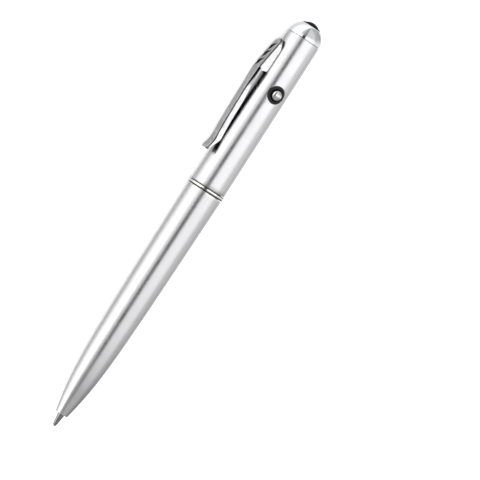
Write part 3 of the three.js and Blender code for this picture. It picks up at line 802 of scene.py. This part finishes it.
def cam_sleeve(steps=60, wall=0.012):
    """Both ramps as one fan of sections. wall is half the turn between one ramp and the next."""
    shape = bmesh.new()
    fan = []
    for start in (-LUG_ANGLE, math.pi - LUG_ANGLE):
        for step in range(steps + 1):
            angle = start + wall + (math.pi - 2 * wall) * step / steps
            edge = cam_edge(angle)
            outline = [
                (2.2, edge), (2.98, edge), (3.05, edge + 0.07), (3.05, 94.3), (4.58, 94.3),
                (4.65, 94.37), (4.65, 95.23), (4.58, 95.3), (2.27, 95.3), (2.2, 95.23),
            ]
            fan.append([
                shape.verts.new(PEN @ Vector((r * math.cos(-angle), r * math.sin(-angle), z)))
                for r, z in outline
            ])
    stitch(shape, fan)
    bmesh.ops.recalc_face_normals(shape, faces=shape.faces)
    return shape


fit(made("cam_sleeve_moulded", cam_sleeve(), "white_plastic"), "upper", "cam_sleeve")

# %% [markdown]
# ## Centre ring
#
# The ring between the barrels is the pen's belt: a little prouder than both, domed across,
# and polished. Its two rims are painted black as painted shade of the joints, and a thin open
# line on each side catches shadow, which is what makes the joint look crisp.

# %% Centre ring
RIM_LOW, RIM_HIGH = 82.45, 83.05  # painted below and above these
belt = [
    (4.7, 82.15), (5.6, 82.15), (5.7, 82.22), (5.78, 82.4), (5.82, 82.6), (5.82, 82.9),
    (5.78, 83.1), (5.7, 83.28), (5.6, 83.35), (4.7, 83.35),
]
belt_ring = made("centre_ring_polished", turned(belt, sides=128), "chrome_plate")
# painted shade at both rims, where the ring meets the barrels
paint(belt_ring, PEN, lambda height: height < RIM_LOW or height > RIM_HIGH)
fit(belt_ring, "ring", "centre_ring")

# %% [markdown]
# ## Upper barrel
#
# The upper barrel is a slightly tapered tube with a round hole in its side for the button.
# A boolean would leave long thin faces round the hole, and they shade badly on smooth metal.
# So the hole is woven into the grid: a square patch of the barrel is left out, and rings of
# faces lead from the hole's circle out to the square.

# %% Its measurements
UPPER_Z = 83.5
CROWN_Z = 135.3
CROWN_RADIUS = 5.4
HOLE_RADIUS = 2.75
PATCH_TURN = 14
PATCH_HEIGHT = 3.9
TURNS = 112
RINGS_IN_PATCH = 24


def barrel_radius(z):
    """The upper barrel's radius at a height."""
    return SEAM_RADIUS + (CROWN_RADIUS - SEAM_RADIUS) * (z - UPPER_Z) / (CROWN_Z - UPPER_Z)


def on_barrel(angle, z):
    """A point of the barrel's surface, at an angle round from the button."""
    return Vector((barrel_radius(z) * math.cos(angle), barrel_radius(z) * math.sin(angle), z))


# %% Weaving the hole into the grid
def upper_barrel_skin():
    """The barrel's outer skin as an even grid, with a square left out for the button."""
    shape = bmesh.new()
    low, high = BUTTON_Z - PATCH_HEIGHT, BUTTON_Z + PATCH_HEIGHT
    heights = [UPPER_Z + (low - UPPER_Z) * step / 24 for step in range(24)]
    patch = [low + (high - low) * step / RINGS_IN_PATCH for step in range(RINGS_IN_PATCH + 1)]
    heights += patch + [high + (CROWN_Z - high) * step / 12 for step in range(1, 13)]
    rows = []
    for z in heights:
        angles = (2 * math.pi * side / TURNS for side in range(TURNS))
        rows.append([shape.verts.new(on_barrel(angle, z)) for angle in angles])
    first = heights.index(low)
    for row in range(len(rows) - 1):
        for side in range(TURNS):
            after = (side + 1) % TURNS
            in_patch = first <= row < first + RINGS_IN_PATCH and (
                side < PATCH_TURN or side >= TURNS - PATCH_TURN
            )
            if not in_patch:
                shape.faces.new((rows[row][side], rows[row][after], rows[row + 1][after],
                                 rows[row + 1][side]))
    return shape, rows, first


def weave_hole(shape, rows, first, rings=8):
    """Fills the square with rings of faces that turn from a square into the hole's circle."""
    last = first + RINGS_IN_PATCH
    border = [rows[first][side] for side in range(-PATCH_TURN, PATCH_TURN)]
    border += [rows[row][PATCH_TURN] for row in range(first, last)]
    border += [rows[last][side] for side in range(PATCH_TURN, -PATCH_TURN, -1)]
    border += [rows[row][-PATCH_TURN] for row in range(last, first, -1)]
    outer = border
    for ring in range(1, rings + 1):
        share = ring / rings
        inner = []
        for vert in border:
            flat = Vector((vert.co.y, vert.co.z - BUTTON_Z))
            spot = flat * (1 - share) + flat.normalized() * HOLE_RADIUS * share
            z = BUTTON_Z + spot.y
            inner.append(shape.verts.new((math.sqrt(barrel_radius(z) ** 2 - spot.x ** 2), spot.x, z)))
        for place, vert in enumerate(inner):
            after = (place + 1) % len(inner)
            shape.faces.new((outer[place], outer[after], inner[after], vert))
        outer = inner
    loose = [vert for vert in shape.verts if not vert.link_faces]
    bmesh.ops.delete(shape, geom=loose, context="VERTS")
    bmesh.ops.recalc_face_normals(shape, faces=shape.faces)
    shape.transform(PEN)


# %% Giving it a wall
def walled(piece, thickness, bevel, crease=32, segments=3):
    """Thickens a skin inwards, breaks its edges, and keeps the result as plain mesh."""
    wall = piece.modifiers.new("wall", "SOLIDIFY")
    wall.thickness = thickness * MM
    wall.offset = -1
    edges = piece.modifiers.new("edges", "BEVEL")
    edges.width = bevel * MM
    edges.segments = segments
    edges.limit_method = "ANGLE"
    edges.angle_limit = math.radians(50)
    keep_modified(piece, crease)


skin, barrel_rows, patch_row = upper_barrel_skin()
weave_hole(skin, barrel_rows, patch_row)
upper = made("upper_barrel_drawn", skin, "satin_aluminium")
walled(upper, 0.65, 0.07)
fit(upper, "upper", "upper_barrel")

# %% [markdown]
# ## Cells, board and switch
#
# Three button cells lie in an insulating sleeve, pressed by a spring and topped by a brass
# contact. Past them a small board carries the switch under the button, a resistor, and the
# lamp's two legs. None of this shows from outside, but it is here when the pen is opened.

# %% Cells
CELL_Z, CELL_PITCH = 98.7, 3.7
for cell in range(3):
    z = CELL_Z + cell * CELL_PITCH
    can = [
        (0, z), (3.1, z), (3.25, z + 0.12), (3.3, z + 0.62), (3.55, z + 0.62), (3.6, z + 0.8),
        (3.95, z + 0.85), (3.95, z + 3.4), (3.75, z + 3.6), (0, z + 3.6),
    ]
    button_cell = made(f"button_cell_{cell + 1}", turned(can), "nickel_cell")
    fit(button_cell, "upper", f"battery_cell_{cell + 1}")

# %% Sleeve, seat and contact
sleeve = [(4.55, 97.9), (4.55, 109.8), (4.1, 109.8), (4.1, 97.9)]
fit(made("battery_sleeve_moulded", turned(sleeve), "black_plastic"), "upper", "battery_sleeve")
seat = [(0, 95.5), (4.6, 95.5), (4.6, 96.0), (1.2, 96.0), (1.0, 95.85), (0, 95.85)]
fit(made("battery_seat_stamped", turned(seat), "brass"), "upper", "battery_seat")
disc = [(0, 109.85), (3.9, 109.85), (3.9, 110.15), (0, 110.15)]
fit(made("battery_contact_stamped", turned(disc), "brass"), "upper", "battery_contact")

# %% Board and what is soldered to it
board = bar((-1.15, -3.5, 110.3), (-0.35, 3.5, 127.6), edge=0.04)
fit(made("circuit_board_cut", board, "board"), "upper", "circuit_board")
chip = bar((-0.3, -0.6, 121.6), (0.3, 0.6, 123.6), edge=0.06)
fit(made("resistor_chip", chip, "component"), "upper", "resistor")
well = turned([(0, 0.25), (1.1, 0.25), (1.1, 3), (0, 3)], BUTTON, reach=0, sides=48)
case = bar((-0.3, -2.1, 114.9), (1.4, 2.1, 119.1), edge=0.15)
switch = combined("switch_base_moulded", case, well, "DIFFERENCE", "black_plastic")
fit(switch, "upper", "switch_base")
plunger = turned([(0, 0.8), (1.0, 0.8), (1.0, 2.3), (0, 2.3)], BUTTON, reach=0.12, sides=48)
fit(made("switch_plunger_moulded", plunger, "white_plastic"), "plunger", "switch_plunger")

# %% [markdown]
# ## Lamp
#
# A 5 mm lamp stands in a plastic holder with its legs soldered to the board. It shines
# through the dark window, which is held behind the mouth of a chrome dome.

# %% Lamp, legs and holder
quarter = [math.radians(90 * step / 12) for step in range(13)]
lamp = [(0, 130), (2.9, 130), (2.9, 131), (2.5, 131)]
lamp += [(2.5 * math.cos(a), 136.1 + 2.5 * math.sin(a)) for a in quarter]
fit(made("uv_lamp", turned(lamp, sides=64), "clear_epoxy"), "upper", "uv_led")
for side, node in enumerate(("led_lead_anode", "led_lead_cathode")):
    y = (side - 0.5) * 2.54
    leg = bar((-0.23, y - 0.23, 124.6 + side), (0.23, y + 0.23, 129.95), edge=0.05)
    fit(made(f"lamp_leg_{side + 1}", leg, "spring_steel"), "upper", node)
holder = [(1.9, 128.2), (4.6, 128.2), (4.6, 131.8), (3.0, 131.8), (3.0, 129.95), (1.9, 129.95)]
fit(made("lamp_holder_moulded", turned(holder), "black_plastic"), "upper", "led_holder")

# %% Chrome dome
MOUTH_PAINT = 139.7  # painted black above this, next to the window
BASE_Z = CROWN_Z + 0.15
MOUTH = 2.4
bend = [math.asin(0.1 / CROWN_RADIUS) + (math.acos(MOUTH / CROWN_RADIUS) - 0.02) * step / 30
        for step in range(31)]
dome = [(4.65, 132.1), (4.65, BASE_Z)]
dome += [(CROWN_RADIUS * math.cos(a), BASE_Z - 0.1 + CROWN_RADIUS * math.sin(a)) for a in bend]
dome += [(MOUTH, 139.75), (2.85, 139.75), (2.85, 134), (3.6, 133.4), (3.6, 132.1)]
bezel = made("light_bezel_polished", turned(dome, sides=128), "chrome_plate")
paint(bezel, PEN, lambda height: height > MOUTH_PAINT)
fit(bezel, "upper", "light_bezel")

# %% Dark window
BULGE, LENS_RADIUS, TOP = 0.9, 2.3, 141.0
sphere = (LENS_RADIUS ** 2 + BULGE ** 2) / (2 * BULGE)
rim = math.acos(LENS_RADIUS / sphere)
lens_arc = [rim + (math.pi / 2 - rim) * step / 16 for step in range(17)]
pane = [(0, 139.0), (2.75, 139.0), (2.75, 139.65), (LENS_RADIUS, 139.65), (LENS_RADIUS, 140.05)]
pane += [(sphere * math.cos(a), TOP - sphere + sphere * math.sin(a)) for a in lens_arc]
pane[-1] = (0, TOP)
window = made("filter_window_polished", turned(pane), "dark_window", 60)
fit(window, "upper", "filter_window")

# %% [markdown]
# ## Button and its collar
#
# The chrome button is a domed cap with a flange that keeps it in the barrel. Its flank is
# painted black, a painted dark reflection, so that only the top of the cap shines. Its black
# collar follows the barrel's curve, so its rim is not flat: each spoke of the collar is cut to
# the height of the barrel there.

# %% Push button
CAP, SHOULDER, RISE_OF_CAP = 1.85, 5.35, 1.35
PAINT_TOP = 6.05  # the cap's flank is black up to here
cap_sphere = (CAP ** 2 + RISE_OF_CAP ** 2) / (2 * RISE_OF_CAP)
cap_centre = SHOULDER + RISE_OF_CAP - cap_sphere
cap_rim = math.asin((SHOULDER - cap_centre) / cap_sphere)
cap_arc = [cap_rim + (math.pi / 2 - cap_rim) * step / 40 for step in range(41)]
knob = [(0, 2.35), (1.2, 2.35), (1.2, 2.9), (2.85, 2.9), (2.85, 3.5), (CAP, 3.5)]
knob += [(cap_sphere * math.cos(a), cap_centre + cap_sphere * math.sin(a)) for a in cap_arc]
knob[-1] = (0, SHOULDER + RISE_OF_CAP)
button = made("push_button_polished", turned(knob, BUTTON, sides=96), "chrome_plate", 60)
# painted dark reflection on the cap's flank
paint(button, BUTTON, lambda height: height < PAINT_TOP)
fit(button, "button", "push_button")


# %% Button collar
def collar(inner=1.95, outer=2.68, foot=3.72, proud=0.16, spokes=96):
    """A ring about the button that stands proud of the barrel by the same step all round."""
    shape = bmesh.new()
    fan = []
    for spoke in range(spokes):
        t = 2 * math.pi * spoke / spokes
        section = []
        for r, drop in ((inner, None), (outer, None), (outer, 0.07), (outer - 0.05, 0.02),
                        (inner + 0.05, 0.02), (inner, 0.07)):
            y, z = r * math.sin(t), BUTTON_Z + r * math.cos(t)
            rim = math.sqrt((barrel_radius(z) + proud) ** 2 - y ** 2)
            x = foot if drop is None else rim - drop
            section.append(shape.verts.new(PEN @ Vector((x, y, z))))
        fan.append(section)
    stitch(shape, fan)
    bmesh.ops.recalc_face_normals(shape, faces=shape.faces)
    return shape


fit(made("button_collar_moulded", collar(), "black_plastic"), "upper", "button_collar")

# %% [markdown]
# ## Clip
#
# The clip is one strip of sheet metal. Its fixed end is a deep channel that stands on the
# barrel, and from there a shallow channel runs down, dips towards the barrel and turns out
# at the toe. It is built from its plan: stations along the strip, and at each station a row
# of points over the face, round the fillet and down both side walls. A second, smaller skin
# inside gives it thickness, and it is black all over as painted shade inside the channel.
# Near the top, the walls reach down to the barrel. The arm is a little waisted. The strip's
# face is brushed, its edge carries a black line of painted shade, and three shallow black
# notches cross the fixed end.

# %% Its measurements
CLIP_HALF = 2.125
CLIP_TOP, CLIP_TOE = 131.9, 92.8
CLIP_PIVOT_Z = 121.4
SHEET = 0.5
CLIP_SKINS = ((0.0, 0.35), (SHEET, 0.1))  # how far inside the outer face, and the fillet
ROOT_DEPTH, ARM_DEPTH, TOE_DEPTH = 0.9, 1.9, 0.8
ROOT_SPAN, TOE_RISE_Z, TOE_SPAN = 12, 94.5, 3
FACE_LINE = [
    (92.8, 8.42), (94.6, 7.86), (96.4, 7.52), (98.5, 7.66), (103.0, 7.94), (110.0, 8.15),
    (118.0, 8.27), (121.4, 8.25), (127.0, 7.44), (130.3, 6.85), (131.9, 6.55),
]
face_curve = curve_through(FACE_LINE, 600)
face_heights = [point.x for point in face_curve]


def face_distance(z):
    """How far the clip's outer face is from the pen's axis."""
    place = min(max(bisect.bisect_left(face_heights, z), 1), len(face_curve) - 1)
    low, high = face_curve[place - 1], face_curve[place]
    return low.y + (high.y - low.y) * (z - low.x) / (high.x - low.x)


def smooth_step(value, low, high):
    """Climbs from 0 to 1 between two values, flat at both ends."""
    t = min(max((value - low) / (high - low), 0), 1)
    return t * t * (3 - 2 * t)


def wall_foot(x, z):
    """Where a side wall ends: a set depth on the arm, the barrel under the fixed end."""
    from_root = ROOT_DEPTH + (ARM_DEPTH - ROOT_DEPTH) * smooth_step(CLIP_PIVOT_Z - z, 0, ROOT_SPAN)
    toe_share = min(max((z - TOE_RISE_Z) / TOE_SPAN, 0), 1)
    from_toe = TOE_DEPTH + (ARM_DEPTH - TOE_DEPTH) * toe_share
    shallow = face_distance(z) - min(from_root, from_toe)
    gap = 0.15 + 0.5 * smooth_step(z, 128.6, 130.4)
    barrel_top = math.sqrt((barrel_radius(z) + gap) ** 2 - x ** 2)
    return shallow + (barrel_top - shallow) * smooth_step(z, 120.5, 121.5)


# %% Notches across the fixed end
NOTCHES = [127.4, 124.7, 121.7]
NOTCH_RISE = 2.7 / 3.4
BAR_DEPTH, LINE_DEPTH = 0.16, 0.1
LINE_HALF, BAR_EXTRA, NOTCH_BLUR = 0.16, 0.6, 0.06


def notch_depth(x, z):
    """Depth of the slanted notches: wide at the far edge, then a thin line."""
    run = x + CLIP_HALF
    bar_share = 1 - smooth_step(run, 2.1, 2.4)
    line_share = 1 - smooth_step(run, 3.2, 3.5)
    half = LINE_HALF + BAR_EXTRA * bar_share
    floor = max(BAR_DEPTH * bar_share, LINE_DEPTH * line_share)
    gap = min(abs(z - start - NOTCH_RISE * run) for start in NOTCHES) / math.hypot(1, NOTCH_RISE)
    return floor * (1 - smooth_step(gap, half - NOTCH_BLUR, half + NOTCH_BLUR))


# %% Rows over the strip
WAIST = 0.45
FINE_FROM = 120.6  # the stations are closer together from here up
WALL_STEPS, FILLET_STEPS, ACROSS = 6, 6, 46


def waist(z):
    """How much narrower the arm is, on each side, between its root and its toe."""
    return WAIST * smooth_step(CLIP_PIVOT_Z - z, 0, 7) * smooth_step(z - CLIP_TOE, 1, 7)


def clip_plan(inset):
    """Stations along the strip: (half-width, z, direction of the edge's normal)."""
    half = CLIP_HALF - inset
    corner = 0.75 - inset
    toe = CLIP_TOE + inset
    stations = []
    for step in range(9):
        t = math.pi / 2 * (1 - step / 8)
        stations.append((half - corner + corner * math.cos(t), toe + corner * (1 - math.sin(t)), -t))
    centre = CLIP_TOP - CLIP_HALF
    coarse = [toe + corner + (FINE_FROM - toe - corner) * step / 70 for step in range(1, 70)]
    fine = [FINE_FROM + (centre - FINE_FROM) * step / 110 for step in range(111)]
    stations += [(half - waist(z), z, 0.0) for z in coarse + fine]
    for step in range(1, 25):
        t = math.pi / 2 * step / 24
        stations.append((half * math.cos(t), centre + half * math.sin(t), t))
    return stations


def clip_row(half, z, lean, inset, fillet):
    """One row of points from foot to foot, mirrored left and right."""
    side = []
    for step in range(WALL_STEPS):
        side.append((0.0, 1 - step / WALL_STEPS, None))
    for step in range(FILLET_STEPS + 1):
        t = math.pi / 2 * step / FILLET_STEPS
        side.append((fillet * (1 - math.cos(t)), None, fillet * (1 - math.sin(t))))
    right = []
    for back, share, drop in side:
        x = half - back * math.cos(lean)
        zz = z - back * math.sin(lean)
        top = face_distance(zz) - inset
        foot = wall_foot(min(x + inset, CLIP_HALF), zz)
        if drop is None:
            d = foot + (top - fillet - foot) * (1 - share)
        else:
            d = top - drop
        right.append((x, zz, d))
    inner_x, inner_z, _ = right[-1]
    across = [
        (inner_x * (1 - 2 * step / ACROSS), inner_z, face_distance(inner_z) - inset)
        for step in range(1, ACROSS)
    ]
    left = [(-x, zz, d) for x, zz, d in reversed(right)]
    return right + across + left


# %% Painted shade along its edge
FILLET_TOP = 0.05
LINE_REACH, ROOT_REACH, LINE_BLUR = 0.36, 0.55, 0.09
WALL_BRUSHING = 0.55


def painted_shade_reach(z):
    """How far below the face the painted shade along the edge reaches: wide at the arm's root."""
    root = 1 - smooth_step(abs(z - CLIP_PIVOT_Z), 1.0, 9.0)
    return LINE_REACH + (ROOT_REACH * root if z < CLIP_PIVOT_Z else 0.0)


def painted_edge_shade(below_face, z):
    """How dark the painted shade on the clip's edge is at a distance below its face."""
    reach = painted_shade_reach(z)
    starts = smooth_step(below_face, 0.02, FILLET_TOP + 0.03)
    return starts * (1 - smooth_step(below_face, reach - LINE_BLUR, reach + LINE_BLUR))


# %% Sewing the two skins together
def quilt(shape, rows):
    """Joins rows of points with faces."""
    for near, far in zip(rows, rows[1:]):
        for place in range(len(near) - 1):
            shape.faces.new((near[place], near[place + 1], far[place + 1], far[place]))


def clip_shape():
    """Both skins of the clip, joined along their feet."""
    shape = bmesh.new()
    shade_and_black_paint = shape.verts.layers.float.new("shade_and_black_paint")
    brushed = shape.verts.layers.float.new("brushed")
    skins = []
    for inset, fillet in CLIP_SKINS:
        rows = []
        for half, z, lean in clip_plan(inset):
            row = []
            for x, zz, d in clip_row(half, z, lean, inset, fillet):
                notch = notch_depth(x, zz) if inset == 0 and z > 118 else 0
                vert = shape.verts.new(PEN @ Vector((x, notch - d, zz)))
                below_face = face_distance(zz) - d
                # painted shade: the inner skin is black all over, and the outer skin has a black line
                # along its edge; the notches are black as well
                vert[shade_and_black_paint] = 1.0 if inset else max(painted_edge_shade(below_face, zz), min(notch / 0.03, 1))
                vert[brushed] = 1.0 if below_face <= FILLET_TOP else WALL_BRUSHING
                row.append(vert)
            rows.append(row)
        skins.append(rows)
        quilt(shape, rows)
    outer, inner = skins
    for edge in (0, -1):
        for place in range(len(outer) - 1):
            shape.faces.new((
                outer[place][edge], outer[place + 1][edge],
                inner[place + 1][edge], inner[place][edge],
            ))
    return shape, outer, inner


def close_toe(shape, outer, inner):
    """Carries the fillet and the wall across the end of the toe."""
    edge = WALL_STEPS + FILLET_STEPS
    lasts = []
    for rows in (outer, inner):
        first = rows[0]
        levels = [first[edge:-edge]]
        for place in range(edge - 1, -1, -1):
            left, right = first[place], first[-1 - place]
            spaces = len(levels[0]) - 1
            steps = [left.co.lerp(right.co, column / spaces) for column in range(1, spaces)]
            levels.append([left, *(shape.verts.new(spot) for spot in steps), right])
        quilt(shape, levels)
        lasts.append(levels[-1])
    quilt(shape, lasts)


clip_mesh, outer_rows, inner_rows = clip_shape()
close_toe(clip_mesh, outer_rows, inner_rows)
bmesh.ops.remove_doubles(clip_mesh, verts=clip_mesh.verts, dist=0.001 * MM)
bmesh.ops.recalc_face_normals(clip_mesh, faces=clip_mesh.faces)
clip = made("clip_pressed", clip_mesh, "chrome_plate", 40)
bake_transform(clip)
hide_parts("clip_bracket", "clip_arm")
print("clip:", len(clip.data.polygons), "faces")

# %% [markdown]
# ## The table
#
# The pen lies on a plain white sheet, large enough to fill the view from any side. The
# paper glows a little, so that the shadow under the pen stays faint.

# %% Table
sheet = bmesh.new()
bmesh.ops.create_grid(sheet, x_segments=8, y_segments=8, size=2.5)
sheet.transform(Matrix.Translation((0, 0, -0.04 * MM)))
mesh = bpy.data.meshes.new("table")
sheet.to_mesh(mesh)
sheet.free()
table = bpy.data.objects.new("table", mesh)
bpy.context.scene.collection.objects.link(table)
paper = bpy.data.materials.new("white paper")
paper.use_nodes = True
paper_shader = paper.node_tree.nodes["Principled BSDF"]
paper_shader.inputs["Roughness"].default_value = 0.9
paper_shader.inputs["Emission Strength"].default_value = 0.45
fibre = speckle(paper.node_tree, 2.0, detail=4.0)
paper_tone = blended(paper.node_tree, fibre, (0.90, 0.90, 0.90), (0.93, 0.93, 0.93))
join(paper.node_tree, paper_shader, Base_Color=paper_tone, Emission_Color=paper_tone)
mesh.materials.append(paper)
print("table laid")
